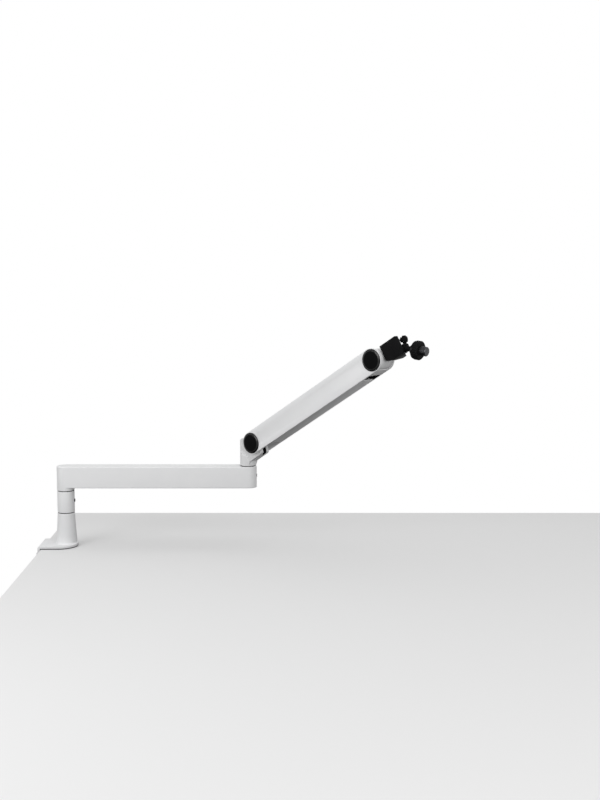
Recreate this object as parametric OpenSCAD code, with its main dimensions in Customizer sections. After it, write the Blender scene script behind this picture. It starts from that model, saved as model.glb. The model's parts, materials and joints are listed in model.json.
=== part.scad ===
// Clamp-mounted boom arm with a swivelling lower arm, a spring-balanced upper arm and a threaded ball head.
// Origin: axis of the post, on the underside of the plate's pad. +X runs along the lower arm,
// -Y faces the front, +Z is up.

/* [Clamp] */
// Width of the clamp plate
plate_w = 66; // [60:1:76]
// Reach of the clamp plate behind the post axis
plate_back = 49; // [46:1:60]
// Thickness of the clamp plate
plate_t = 4.2; // [3.6:0.2:5]
// Thickness of the rubber pad under the plate
pad_t = 1.8; // [1.4:0.2:2.4]
// Depth of the clamp throat below the plate
throat_h = 62; // [58:1:80]
// Opening at which the clamp is stored
grip_t = 30; // [26:1:36]
// Diameter of the clamping screw
spindle_d = 12; // [10:1:14]
// Diameter of the pressure plate
press_d = 42; // [38:1:48]
// Diameter of the clamp knob
knob_d = 44; // [38:1:52]

/* [Post] */
// Height of the tapered column above its plate
column_h = 57.8; // [50:1:80]
// Diameter of the column at its foot
column_foot_d = 38.4; // [37:0.5:44]
// Diameter of the column top and of the sleeve above it, and width of the lower arm
post_d = 32; // [31:0.5:34]
// Height of the riser sleeve
riser_h = 39.8; // [36:1:80]
// Height of the boss under the lower arm
boss_h = 5.4; // [4:0.2:8]
// Thickness of the dark rings in the seams
seam_t = 1.4; // [1:0.1:2]
// Diameter of the swivel shaft
shaft_d = 12; // [10:0.5:14]

/* [Lower arm] */
// Distance from the post axis to the elbow axis
lower_len = 340; // [280:5:420]
// Height of the lower arm
lower_h = 40; // [38:1:46]
// Wall of the lower arm
lower_wall = 2.6; // [2:0.2:3.2]
// Length of each channel mouth under the lower arm
lower_mouth = 32; // [20:1:40]

/* [Elbow] */
// Diameter of the elbow post
elbow_d = 29.6; // [28:0.2:30]
// Height of the elbow post above the lower arm
elbow_h = 51; // [48:0.5:54]
// Height of the lift pivot above the lower arm
pivot_h = 47.4; // [46:0.2:52]
// Reach of the lift pivot in front of the elbow axis
pivot_reach = 25.6; // [25:0.2:28]
// Width of the elbow fork
fork_w = 21.3; // [20:0.2:23]
// Width of the slot in the elbow fork
fork_slot = 8.5; // [8:0.1:9.5]
// Heading of the upper arm, turned towards the front
heading = 40.9; // [0:1:80]

/* [Upper arm] */
// Distance between the two pivots of the upper arm
upper_len = 324; // [280:4:400]
// Height of the upper arm
upper_h = 40; // [39:0.5:44]
// Width of the upper arm
upper_w = 38; // [37.4:0.2:40]
// Wall of the upper arm
upper_wall = 3.6; // [3:0.1:3.7]
// Rise of the upper arm above level
rise = 31.4; // [10:1:50]
// Diameter of the round caps over the pivots
cap_d = 38; // [34:0.5:38]
// Height of the round caps
cap_t = 2; // [1.6:0.1:3]
// Diameter of the pivot axles
axle_d = 8; // [7:0.5:9]
// Outer diameter of the balance spring
spring_d = 16; // [14:0.5:17]
// Wire diameter of the balance spring
spring_wire = 2; // [1.6:0.1:2.4]
// Radius at which the pull band leaves its drum
band_r = 8; // [7:0.5:9]

/* [Head] */
// Length of the ball housing
head_len = 42; // [40:0.5:48]
// Height of the ball housing at its rear
head_h = 29; // [28:0.5:33]
// Width of the ball housing
head_w = 24; // [23:0.5:28]
// Diameter of the ball
ball_d = 13; // [12:0.5:13.5]
// Diameter of the neck behind the flange
neck_d = 9; // [8:0.5:9.5]
// Distance from the ball to the flange
neck_len = 13.3; // [13:0.1:18]
// Diameter of the flange and of the lock ring
ring_d = 32; // [30:0.5:34]
// Length of the lock ring
ring_len = 10; // [8:0.5:12]
// Diameter of the threaded stud
stud_d = 15.88; // [15.8:0.02:15.9]
// Length of the stud past the lock ring
stud_len = 11; // [9:0.5:14]
// Diameter of the locking knob
lock_d = 13.6; // [12:0.2:13.6]

/* [Hidden] */
$fn = 96;

// Clearances between pieces that move on each other
run_r = 0.05;
run_gap = 0.2;
side_gap = 0.4;
ball_gap = 0.2;
open_gap = 0.3;
// Small overlap that makes two shapes one solid, and how far a cut runs past a face
join = 0.5;
cut = 1;

paint = [0.83, 0.83, 0.84];
black = [0.10, 0.10, 0.11];
steel = [0.62, 0.63, 0.65];
brass = [0.72, 0.60, 0.33];
rubber = [0.07, 0.07, 0.07];

// Heights on the post axis
plate_top = pad_t + plate_t;
column_top = plate_top + column_h;
riser_bot = column_top + seam_t;
riser_top = riser_bot + riser_h;
boss_bot = riser_top + seam_t + run_gap;
arm_bot = boss_bot + boss_h;
arm_top = arm_bot + lower_h;
// Clamp
jaw_t = 9;
jaw_w = 34;
jaw_leg_t = 5.4;
jaw_rib_t = 4;
jaw_rib = 17.6;
back_t = 4.4;
edge_pad_t = 1.6;
pad_inset = 1;
bend_r = 4;
plate_lip = 1.5;
grip_edge = -plate_back + back_t + edge_pad_t;
jaw_top = -throat_h;
back_bot = -0.55 * throat_h;
jaw_leg_top = back_bot + 24;
jaw_screw_d = 5.2;
jaw_screw_z = (back_bot + jaw_leg_top) / 2;
screw_head_d = 9;
screw_head_t = 2.6;
screw_key = 4.6;
edge_pad_bot = -0.28 * throat_h;
screw_x = -2;
nut_flange = 3;
nut_d = spindle_d + 6;
press_t = 3.4;
press_pad_t = 2.2;
press_hub = 5;
press_disc = 2;
knob_h = 20;
knob_base = 3;
knob_rim = 3;
knob_flutes = 8;
knob_flute_d = 13;
spindle_spare = 26;
spindle_neck = spindle_d - 2;
spindle_top = -press_hub - run_gap;
spindle_len = throat_h + jaw_t + spindle_spare - grip_t;
// Post
spigot_d = post_d - 8;
spigot_h = 7;
bush_wall = 2;
bush_len = 9;
shaft_low = riser_bot + spigot_h + 0.6;
shaft_end = 4.4;
shaft_floor = 2;
shaft_neck = shaft_d - 3;
shaft_rim = 1.4;
screw_drop = 25.2;
set_screw_d = 6;
set_screw_key = 3.2;
set_screw_dip = 2;
shoe_len = 2.5;
rim = 0.6;
seam_inset = 1.6;
// Lower arm
lower_w = post_d;
lower_r = lower_w / 2;
lower_top_t = lower_wall + 0.6;
edge_r = 1.4;
lower_room = lower_w - 2 * lower_wall;
cover_t = 1.8;
ledge = 1.6;
hub_end = lower_r;
pin_d = 14;
pin_end_d = 8;
nut_pocket = 9;
nut_low = arm_bot + 1.8;
nut_high = 6.4;
pin_low = nut_low + nut_high;
elbow_screw_z = arm_bot + 22;
shaft_top = arm_top - 6;
lip_t = 1.4;
lip_gap = 0.5;
lip_end = 4;
// Elbow
elbow_seam = 1.2;
knuckle_bot = arm_top + elbow_seam + run_gap;
pivot_z = arm_top + pivot_h;
pivot_up = pivot_z - knuckle_bot;
knuckle_h = elbow_h - elbow_seam - run_gap;
knuckle_rim = 4;
elbow_r = elbow_d / 2;
eye_r = 13;
fork_foot = 9;
slot_from = 3;
slot_floor = 11;
shoulder_h = 23;
shoulder_out = 20;
shoulder_dip = 29;
// Upper arm
upper_r = upper_h / 2;
wall_in = upper_w / 2 - upper_wall;
roof = upper_r - upper_wall;
elbow_open = 39;
tip_open_near = 39;
tip_open_far = 20;
barrel_r = upper_r - 1.4;
barrel_w = 2 * wall_in - 4 * side_gap;
roof_start = 4;
web_z = -6.6;
web_t = 2;
web_from = 62;
web_to = upper_len - 44;
axle_len = upper_w - 2;
bush_d = axle_d + 5;
bush_dip = 1.2;
pin_dip = 1.5;
spring_pin_d = 4;
band_t = 1;
band_w = 6;
drum_r = band_r - band_t / 2 - open_gap;
carriage_from = 46;
carriage_len = 12;
spring_from = carriage_from + carriage_len;
spring_pin_t = upper_len - 66;
spring_turns = 40;
// Head, measured from the tip pivot along the upper arm
head_from = barrel_r + 3.1;
head_to = head_from + head_len;
head_top = 14;
head_bot = head_top - head_h;
head_round = 3;
head_belly = 4;
nose_slant = 35;
ball_at = [head_from + 38, 0, -10.4];
cup_t = 0.7;
cup_in = ball_d / 2 + ball_gap;
cup_out = cup_in + cup_t;
socket_r = cup_out + ball_gap;
nose_r = socket_r + 0.8;
mouth_from = 1.4;
mouth_h = 24;
// Direction of the stem in the head's frame, as two turns from straight ahead
stem_yaw = 6;
stem_dip = 37;
neck_seat = run_gap;
neck_flare_d = 15;
neck_flare = 3;
neck_pin_d = 6;
neck_pin_len = 5;
flange_cone = 4;
flange_top = 7;
flange_rim = 1;
hub_d = stud_d - 1;
hub_top = flange_top + ring_len + 2 * run_gap;
stud_shank = 6;
lock_y = 0;
lock_at = [head_to - (head_w / 2 + lock_y) * tan(nose_slant), lock_y, 7];
lock_dip = 18;
lock_gap = 5;
lock_hub_d = 9;
lock_hub = 3.1;
lock_len = 9.5;
lock_screw_d = 5;
lock_screw_in = 8;
grip_cuts = 24;
grip_cut_d = 2.2;
knob_cuts = 16;
knob_cut_d = 1.6;
bolt_d = 6;
bolt_in = 8;

// Frames of the arm's moving parts
module at_elbow() translate([lower_len, 0, 0]) rotate([0, 0, -heading]) children();
module at_lift() at_elbow() translate([pivot_reach, 0, pivot_z]) rotate([0, -rise, 0]) children();
module at_tip() at_lift() translate([upper_len, 0, 0]) children();
module ball_frame() translate(ball_at) rotate([0, 0, stem_yaw]) rotate([0, 90 + stem_dip, 0]) children();
module lock_frame() translate(lock_at) rotate([0, 0, nose_slant]) rotate([0, 90 + lock_dip, 0]) children();
module at_ball() at_tip() ball_frame() children();
module at_lock() at_tip() lock_frame() children();
// A cylinder across the arm, centred on its mid plane
module across(d, w) rotate([90, 0, 0]) cylinder(d = d, h = w, center = true);
// The same cylinder between two distances from the mid plane, to the front (1) or the back (-1)
module across_side(d, from, to, side) rotate([-side * -90, 0, 0]) translate([0, 0, from])
    cylinder(d = d, h = to - from);
// A ring between two heights
module ring(d_out, d_in, z, h) translate([0, 0, z]) difference() {
    cylinder(d = d_out, h = h);
    translate([0, 0, -cut]) cylinder(d = d_in, h = h + 2 * cut);
}
// A bar with square section between two corners
module block(low, high) translate(low) cube(high - low);

// Outline of the clamp plate: straight at the back, half round at the tip
module plate_outline(inset = 0, back = 0) {
    r = plate_w / 2 - inset;
    tip = column_foot_d / 2 + plate_lip - inset;
    intersection() {
        translate([tip - r, 0]) circle(r = r);
        translate([tip - r, -r]) square([r, 2 * r]);
    }
    translate([back, -r]) square([tip - r - back, 2 * r]);
}

// Half profile of the tapered column with its foot fillet
module column_profile() {
    foot_r = column_foot_d / 2;
    fillet = 2.2;
    flare = 0.3;
    flare_h = 7;
    difference() {
        polygon([[0, plate_top - join], [foot_r + fillet, plate_top - join], [foot_r + fillet, plate_top],
            [foot_r, plate_top + fillet], [post_d / 2 + flare, column_top - flare_h],
            [post_d / 2, column_top - rim], [post_d / 2 - rim, column_top], [0, column_top]]);
        translate([foot_r + fillet, plate_top + fillet]) circle(r = fillet);
    }
}

module clamp_frame() color(paint) difference() {
    union() {
        translate([0, 0, pad_t]) linear_extrude(plate_t) plate_outline(0, -plate_back + bend_r);
        block([-plate_back, -plate_w / 2, back_bot], [-plate_back + back_t, plate_w / 2, plate_top - bend_r]);
        translate([-plate_back + bend_r, 0, plate_top - bend_r]) intersection() {
            across(2 * bend_r, plate_w);
            translate([-bend_r, -plate_w / 2, 0]) cube([bend_r, plate_w, bend_r]);
        }
        block([-plate_back + bend_r - join, -plate_w / 2, pad_t],
            [-plate_back + back_t + join, plate_w / 2, plate_top - bend_r + join]);
        rotate_extrude() column_profile();
        translate([0, 0, column_top - join]) cylinder(d = spigot_d, h = seam_t + spigot_h + join);
    }
    translate([0, 0, shaft_low - shaft_end - shaft_floor])
        cylinder(d = shaft_d + 5, h = shaft_end + spigot_h);
    for (y = [-1, 1]) translate([-plate_back - cut, y * jaw_w / 4, jaw_screw_z]) rotate([0, 90, 0])
        cylinder(d = jaw_screw_d, h = back_t + 2 * cut);
}

module top_pad() color(rubber) linear_extrude(pad_t) plate_outline(pad_inset, grip_edge);

module edge_pad() color(rubber) block([-plate_back + back_t, -plate_w / 2 + pad_inset, edge_pad_bot],
    [grip_edge, plate_w / 2 - pad_inset, pad_t]);

// The jaw is a bent bar with a rounded nose and two side ribs, screwed behind the back plate
module lower_jaw() color(paint) {
    leg_x = -plate_back - jaw_leg_t;
    difference() {
        union() {
            block([leg_x, -jaw_w / 2, jaw_top - jaw_t], [-plate_back, jaw_w / 2, jaw_leg_top]);
            block([leg_x, -jaw_w / 2, jaw_top - jaw_t], [screw_x, jaw_w / 2, jaw_top]);
            translate([screw_x, 0, jaw_top - jaw_t]) cylinder(d = jaw_w, h = jaw_t);
            for (y = [-jaw_w / 2, jaw_w / 2 - jaw_rib_t]) translate([0, y + jaw_rib_t, 0]) rotate([90, 0, 0])
                linear_extrude(jaw_rib_t) polygon([[-plate_back - join, jaw_top - join],
                    [-plate_back + jaw_rib, jaw_top - join], [-plate_back - join, jaw_top + jaw_rib]]);
        }
        translate([screw_x, 0, jaw_top - jaw_t - cut]) cylinder(d = nut_d, h = jaw_t + 2 * cut);
        for (y = [-1, 1]) translate([leg_x - cut, y * jaw_w / 4, jaw_screw_z]) rotate([0, 90, 0])
            cylinder(d = jaw_screw_d, h = jaw_leg_t + 2 * cut);
    }
}

module jaw_screws() color(steel) for (y = [-1, 1])
    translate([-plate_back - jaw_leg_t, y * jaw_w / 4, jaw_screw_z]) rotate([0, 90, 0]) {
        cylinder(d = jaw_screw_d, h = jaw_leg_t + back_t);
        translate([0, 0, -screw_head_t]) difference() {
            cylinder(d = screw_head_d, h = screw_head_t);
            translate([0, 0, -cut]) cylinder(d = screw_key, h = screw_head_t, $fn = 6);
        }
    }

module spindle_nut() color(brass) translate([screw_x, 0, jaw_top]) difference() {
    union() {
        translate([0, 0, -jaw_t]) cylinder(d = nut_d, h = jaw_t);
        cylinder(d = nut_d + 6, h = nut_flange);
    }
    translate([0, 0, -jaw_t - cut]) cylinder(d = spindle_d + 2 * run_r, h = jaw_t + nut_flange + 2 * cut);
}

module at_press() translate([screw_x, 0, -grip_t - press_pad_t]) children();

module pressure_pad() color(rubber) at_press() cylinder(d = press_d - 3, h = press_pad_t);

// A disc with a hub that holds the end disc of the screw
module pressure_plate() color(steel) at_press() translate([0, 0, -press_t]) difference() {
    union() {
        translate([0, 0, -press_hub]) cylinder(d = spindle_d + 7, h = press_hub + join);
        cylinder(d = press_d, h = press_t);
    }
    translate([0, 0, -press_hub - cut]) cylinder(d = spindle_neck + 2 * run_r, h = press_hub + cut);
    translate([0, 0, -cut - run_gap]) cylinder(d = spindle_d + 2 * run_gap, h = press_disc + 2 * run_gap);
}

module clamp_spindle() color(steel) at_press() translate([0, 0, -press_t]) {
    translate([0, 0, spindle_top - spindle_len]) cylinder(d = spindle_d, h = spindle_len);
    translate([0, 0, spindle_top - join]) cylinder(d = spindle_neck, h = join - spindle_top);
    translate([0, 0, -cut]) cylinder(d = spindle_d, h = press_disc);
}

// A fluted hand knob, its grips cut from the round body by a ring of scallops
module clamp_knob() color(black) at_press()
    translate([0, 0, -press_t + spindle_top - spindle_len - knob_base])
    difference() {
        rotate_extrude() polygon([[0, 0], [knob_d / 2 - knob_rim, 0], [knob_d / 2, knob_rim],
            [knob_d / 2, knob_h - 8], [knob_d / 2 - knob_rim, knob_h - 5], [spindle_d, knob_h - 4],
            [spindle_d, knob_h], [0, knob_h]]);
        for (i = [0:knob_flutes - 1]) rotate([0, 0, i * 360 / knob_flutes])
            translate([knob_d / 2 + knob_rim, 0, -cut]) cylinder(d = knob_flute_d, h = knob_h);
        translate([0, 0, knob_base]) cylinder(d = spindle_d, h = knob_h);
    }

module lower_seam_ring() color(black) ring(post_d - seam_inset, spigot_d, column_top, seam_t);

module riser_sleeve() color(paint) difference() {
    rotate_extrude() polygon([[shaft_d / 2 + bush_wall, riser_bot], [post_d / 2 - rim, riser_bot],
        [post_d / 2, riser_bot + rim], [post_d / 2, riser_top - rim], [post_d / 2 - rim, riser_top],
        [shaft_d / 2 + bush_wall, riser_top]]);
    translate([0, 0, riser_bot - cut]) cylinder(d = spigot_d, h = spigot_h + cut);
    translate([0, 0, arm_bot - screw_drop]) rotate([0, 90, 0]) cylinder(d = set_screw_d, h = post_d);
}

module riser_bushes() color(brass) {
    d_in = shaft_d + 2 * run_r;
    d_out = shaft_d + 2 * bush_wall;
    ring(d_out, d_in, riser_bot + spigot_h + cut, bush_len);
    ring(d_out, d_in, riser_top - bush_len, bush_len);
}

// A headless screw along +X between two radii, with a hexagon socket
module set_screw(from, to) difference() {
    translate([0, 0, from]) cylinder(d = set_screw_d, h = to - from);
    translate([0, 0, to - set_screw_dip - cut])
        cylinder(d = set_screw_key, h = set_screw_dip + 2 * cut, $fn = 6);
}

module riser_screw() color(black) translate([0, 0, arm_bot - screw_drop]) rotate([0, 90, 0])
    set_screw(shaft_d / 2 + shoe_len, post_d / 2 + cut);

module friction_shoe() color(brass) translate([0, 0, arm_bot - screw_drop]) difference() {
    rotate([0, 90, 0]) cylinder(d = set_screw_d - run_gap, h = shaft_d / 2 + shoe_len);
    translate([0, 0, -set_screw_d]) cylinder(d = shaft_d + 2 * run_r, h = 2 * set_screw_d);
}

module upper_seam_ring() color(black) ring(post_d - seam_inset, shaft_d + 2, riser_top, seam_t);

// Cross-section of the lower arm's outside, with rounded upper and lower edges
module lower_section(inset = 0) {
    r = lower_r - inset;
    for (x = [-1, 1], z = [arm_bot + inset + edge_r, arm_top - inset - edge_r])
        translate([x * (r - edge_r), z]) circle(r = edge_r);
    translate([-r, arm_bot + inset + edge_r]) square([2 * r, lower_h - 2 * inset - 2 * edge_r]);
    translate([-r + edge_r, arm_bot + inset]) square([2 * r - 2 * edge_r, lower_h - 2 * inset]);
}

module lower_outside() {
    translate([lower_len, 0, 0]) rotate([90, 0, -90]) linear_extrude(lower_len) lower_section();
    for (x = [0, lower_len]) translate([x, 0, 0]) rotate_extrude() intersection() {
        lower_section();
        translate([0, arm_bot]) square([lower_r, lower_h]);
    }
}

// The shell: a long channel open below, with round hubs for the two vertical pivots
module lower_arm_shell() color(paint) difference() {
    union() {
        difference() {
            lower_outside();
            block([hub_end, -lower_room / 2, arm_bot - cut],
                [lower_len - hub_end, lower_room / 2, arm_top - lower_top_t]);
        }
        for (y = [-1, 1]) block(
            [hub_end + lower_mouth, min(y * lower_room / 2, y * (lower_room / 2 - ledge)), arm_bot + cover_t],
            [lower_len - hub_end - lower_mouth, max(y * lower_room / 2, y * (lower_room / 2 - ledge)),
                arm_bot + 2 * cover_t]);
        translate([0, 0, boss_bot]) cylinder(d = post_d, h = boss_h + edge_r);
    }
    translate([0, 0, boss_bot - cut]) cylinder(d = shaft_d, h = shaft_top - boss_bot + cut);
    translate([lower_len, 0, arm_bot]) cylinder(d = pin_d + 2 * bush_wall, h = lower_h + cut);
    translate([lower_len, 0, arm_bot - cut]) cylinder(d = pin_d + 8, h = nut_pocket + cut);
    translate([lower_len, 0, elbow_screw_z]) rotate([0, 90, 0]) cylinder(d = set_screw_d, h = lower_w);
}

// A snap-in strip that closes the channel between its two mouths
module lower_arm_cover() color(paint) {
    from = hub_end + lower_mouth;
    to = lower_len - hub_end - lower_mouth;
    block([from, -lower_room / 2, arm_bot], [to, lower_room / 2, arm_bot + cover_t]);
    for (y = [-1, 1]) translate([0, y * (lower_room / 2 - ledge - lip_gap - lip_t / 2), 0])
        block([from + lip_end, -lip_t / 2, arm_bot + cover_t - join],
            [to - lip_end, lip_t / 2, arm_bot + 3 * cover_t]);
}

module swivel_shaft() color(steel) {
    translate([0, 0, shaft_low]) cylinder(d = shaft_d, h = shaft_top - shaft_low);
    translate([0, 0, shaft_low - shaft_end]) cylinder(d = shaft_neck, h = shaft_end + join);
    translate([0, 0, shaft_low - shaft_end]) cylinder(d = shaft_d, h = shaft_rim);
}

module shaft_ring() color(steel) ring(shaft_d + 3, shaft_neck, shaft_low - 2, 1.6);

module elbow_bush() color(brass) translate([lower_len, 0, 0])
    ring(pin_d + 2 * bush_wall, pin_d + 2 * run_r, arm_bot + nut_pocket, lower_h - nut_pocket);

module elbow_screw() color(black) translate([lower_len, 0, elbow_screw_z]) rotate([0, 90, 0])
    set_screw(pin_d / 2 + bush_wall, lower_r + join);

// The fork's side view: a slanted underside from the post, a rounded eye round the pivot
module fork_side() {
    polygon([[0, 0], [elbow_r - 4, 0], [elbow_r - 1, fork_foot], [pivot_reach + 15, pivot_up - 20],
        [pivot_reach + 17, pivot_up - 17], [pivot_reach + eye_r, pivot_up], [0, pivot_up]]);
    translate([pivot_reach, pivot_up]) circle(r = eye_r);
}

// A turned post whose front rises into a slotted fork; sloping shoulders narrow it to the fork
module elbow_knuckle() color(paint) at_elbow() difference() {
    union() {
        translate([0, 0, knuckle_bot]) rotate_extrude() {
            polygon([[0, 0], [elbow_r - rim, 0], [elbow_r, rim], [elbow_r, knuckle_h - knuckle_rim],
                [elbow_r - knuckle_rim, knuckle_h], [0, knuckle_h]]);
            translate([elbow_r - knuckle_rim, knuckle_h - knuckle_rim]) circle(r = knuckle_rim);
        }
        translate([0, fork_w / 2, knuckle_bot]) rotate([90, 0, 0]) linear_extrude(fork_w) fork_side();
        translate([0, 0, pin_low]) cylinder(d = pin_d, h = knuckle_bot - pin_low + join);
        translate([0, 0, nut_low]) cylinder(d = pin_end_d, h = pin_low - nut_low + join);
    }
    for (side = [-1, 1]) intersection() {
        translate([-elbow_d, side > 0 ? fork_w / 2 : -fork_w / 2 - elbow_d, knuckle_bot])
            cube([4 * elbow_d, elbow_d, 3 * elbow_d]);
        translate([0, side * fork_w / 2, knuckle_bot + shoulder_h])
            rotate([-side * shoulder_out, shoulder_dip, 0])
            translate([-2 * elbow_d, -2 * elbow_d, 0]) cube([4 * elbow_d, 4 * elbow_d, 3 * elbow_d]);
    }
    translate([pivot_reach, 0, pivot_z]) across(axle_d, fork_w + 2 * cut);
    block([slot_from, -fork_slot / 2, knuckle_bot + slot_floor],
        [pivot_reach + elbow_d, fork_slot / 2, knuckle_bot + 2 * pivot_up]);
}

module knuckle_ring() color(black) at_elbow()
    ring(elbow_d - seam_inset, pin_d, arm_top + run_gap, elbow_seam);

module knuckle_nut() color(steel) at_elbow() difference() {
    union() {
        translate([0, 0, nut_low]) cylinder(d = pin_end_d * 1.8, h = nut_high, $fn = 6);
        translate([0, 0, nut_low + nut_high - 1.4]) cylinder(d = pin_d + 4, h = 1.4);
    }
    translate([0, 0, nut_low - 1]) cylinder(d = pin_end_d, h = nut_high + 2);
}

module elbow_axle() color(steel) at_lift() across(axle_d, axle_len);

module elbow_washers() color(steel) at_lift() for (side = [-1, 1]) difference() {
    across_side(axle_d + 13, fork_w / 2, wall_in - 3.2, side);
    across(axle_d, upper_w);
}

// The drum is keyed in the fork; the fastened end of the band lies on its back
module band_drum() color(steel) at_lift() {
    difference() {
        across(2 * drum_r, fork_slot - 0.4);
        across(axle_d, upper_w);
    }
    rotate([90, 0, 0]) translate([0, 0, -band_w / 2]) rotate([0, 0, 141]) rotate_extrude(angle = 60)
        translate([drum_r - 0.1, 0]) square([band_t + 0.1, band_w]);
}

// Side view of the upper arm: straight between two round ends
module upper_side(r) {
    for (x = [0, upper_len]) translate([x, 0]) circle(r = r);
    translate([0, -r]) square([upper_len, 2 * r]);
}

// The shell: two side walls with round ends, a roof and a web over the channel, open below
module upper_arm_shell() color(paint) at_lift() difference() {
    union() {
        difference() {
            rotate([90, 0, 0]) translate([0, 0, -upper_w / 2]) linear_extrude(upper_w) upper_side(upper_r);
            block([-upper_h, -wall_in, -upper_h], [upper_len + upper_h, wall_in, roof]);
            block([-upper_h, -wall_in, roof - cut], [roof_start, wall_in, upper_h]);
            translate([upper_len, 0, 0]) across(2 * (barrel_r + side_gap), 2 * wall_in);
            block([upper_len, -wall_in, -upper_h], [upper_len + upper_h, wall_in, upper_h]);
        }
        block([web_from, -wall_in - join, web_z], [web_to, wall_in + join, web_z + web_t]);
        difference() {
            block([upper_len - tip_open_far, -wall_in - join, -upper_r],
                [upper_len, wall_in + join, -upper_r + 2.5]);
            translate([upper_len, 0, 0]) across(2 * (barrel_r + side_gap), upper_w);
        }
        for (y = [-1, 1]) block([elbow_open, min(y * wall_in, y * (wall_in - ledge)), -upper_r + cover_t],
            [upper_len - tip_open_near, max(y * wall_in, y * (wall_in - ledge)), -upper_r + 2 * cover_t]);
    }
    for (x = [0, upper_len]) translate([x, 0, 0]) across(bush_d, upper_w + 2 * cut);
    for (x = [0, upper_len], side = [-1, 1]) translate([x, 0, 0])
        across_side(bush_d + 7, upper_w / 2 - bush_dip, upper_w, side);
    translate([spring_pin_t, 0, band_r]) across(spring_pin_d, upper_w - 2 * pin_dip);
}

module upper_arm_cover() color(paint) at_lift() {
    block([elbow_open, -wall_in, -upper_r], [upper_len - tip_open_near, wall_in, -upper_r + cover_t]);
    for (y = [-1, 1]) translate([0, y * (wall_in - ledge - lip_gap - lip_t / 2), 0])
        block([elbow_open + lip_end, -lip_t / 2, -upper_r + cover_t - join],
            [upper_len - tip_open_near - lip_end, lip_t / 2, -upper_r + 3 * cover_t]);
}

module elbow_bushes() color(brass) at_lift() for (side = [-1, 1]) difference() {
    union() {
        across_side(bush_d, wall_in - join, upper_w / 2 - bush_dip, side);
        across_side(bush_d + 7, wall_in - 3, wall_in, side);
    }
    across(axle_d + 2 * run_r, upper_w);
}

module tip_bushes() color(brass) at_tip() for (side = [-1, 1]) difference() {
    across_side(bush_d, wall_in, upper_w / 2 - bush_dip, side);
    across(axle_d + 2 * run_r, upper_w);
}

// A round cap with a softened rim and a ring that seats in the wall
module pivot_cap(side) color(black) rotate([side * 90, 0, 0]) rotate_extrude()
    polygon([[0, upper_w / 2], [bush_d / 2 + 1.6, upper_w / 2], [bush_d / 2 + 1.6, upper_w / 2 - 1],
        [bush_d / 2 + 3.4, upper_w / 2 - 1], [bush_d / 2 + 3.4, upper_w / 2], [cap_d / 2, upper_w / 2],
        [cap_d / 2, upper_w / 2 + cap_t - 0.8], [cap_d / 2 - 0.8, upper_w / 2 + cap_t],
        [0, upper_w / 2 + cap_t]]);

module elbow_cap_near() at_lift() pivot_cap(1);
module elbow_cap_far() at_lift() pivot_cap(-1);
module tip_cap_near() at_tip() pivot_cap(1);
module tip_cap_far() at_tip() pivot_cap(-1);

// One unbroken wire along a helix, written as points on a formula
module coil_wire(length, d, wire, turns) {
    steps = 8;
    sides = 6;
    r = (d - wire) / 2;
    count = turns * steps;
    points = [for (i = [0:count], k = [0:sides - 1])
        let (a = 360 * i / steps, b = 360 * k / sides, q = r + wire / 2 * cos(b))
        [wire / 2 + (length - wire) * i / count + wire / 2 * sin(b), q * cos(a), q * sin(a)]];
    faces = [for (i = [0:count - 1], k = [0:sides - 1], half = [0, 1])
        let (p = i * sides + k, q = i * sides + (k + 1) % sides)
        half == 0 ? [p, q, p + sides] : [q, q + sides, p + sides]];
    first = [for (k = [1:sides - 2]) [0, k + 1, k]];
    last = [for (k = [1:sides - 2]) [count * sides, count * sides + k, count * sides + k + 1]];
    polyhedron(points, concat(faces, first, last));
    echo(least_gap_between_turns = (length - wire) / turns - wire);
}

module balance_spring() color(steel) at_lift() translate([spring_from + 0.3, 0, band_r])
    coil_wire(spring_pin_t - 3 - spring_from - 0.6, spring_d, spring_wire, spring_turns);

module spring_pin() color(steel) at_lift() {
    translate([spring_pin_t, 0, band_r]) across(spring_pin_d, upper_w - 2 * pin_dip);
    translate([spring_pin_t - 3, 0, band_r]) rotate([0, 90, 0])
        cylinder(d = spring_d - 2 * spring_wire - 1, h = 6);
}

module spring_carriage() color(steel) at_lift() difference() {
    translate([carriage_from, 0, band_r]) rotate([0, 90, 0]) union() {
        cylinder(d = spring_d, h = carriage_len);
        translate([0, 0, carriage_len - join]) cylinder(d = spring_d - 2 * spring_wire - 1, h = 5);
    }
    block([carriage_from - 1, -band_w / 2, band_r - band_t / 2],
        [carriage_from + 7, band_w / 2, band_r + band_t / 2]);
}

module pull_band() color(steel) at_lift()
    block([0.5, -band_w / 2, band_r - band_t / 2], [carriage_from + 7, band_w / 2, band_r + band_t / 2]);

// The barrel turns between the round ends of the shell and carries the ball housing
module tip_barrel() color(paint) at_tip() difference() {
    union() {
        across(2 * barrel_r, barrel_w);
        rotate([0, 90, 0]) cylinder(d = 17, h = head_from);
    }
    across(axle_d, upper_w);
    rotate([0, 90, 0]) cylinder(d = bolt_d, h = head_from + cut);
}

module tip_axle() color(steel) at_tip() across(axle_d, axle_len);

module tip_washers() color(black) at_tip() for (side = [-1, 1]) difference() {
    across_side(axle_d + 12, barrel_w / 2, wall_in - run_gap, side);
    across(axle_d, upper_w);
}

// Side view of the ball housing, with a chamfered front top and a rounded underside
module head_side() {
    polygon([[head_from, head_bot + head_round], [head_from, head_top], [head_to - 6, head_top],
        [head_to, head_top - 3.6], [head_to, head_top - 20], [head_to - 4, head_bot - head_belly],
        [head_from + 17, head_bot - head_belly], [head_from + head_round, head_bot]]);
    translate([head_from + head_round, head_bot + head_round]) circle(r = head_round);
}

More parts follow.
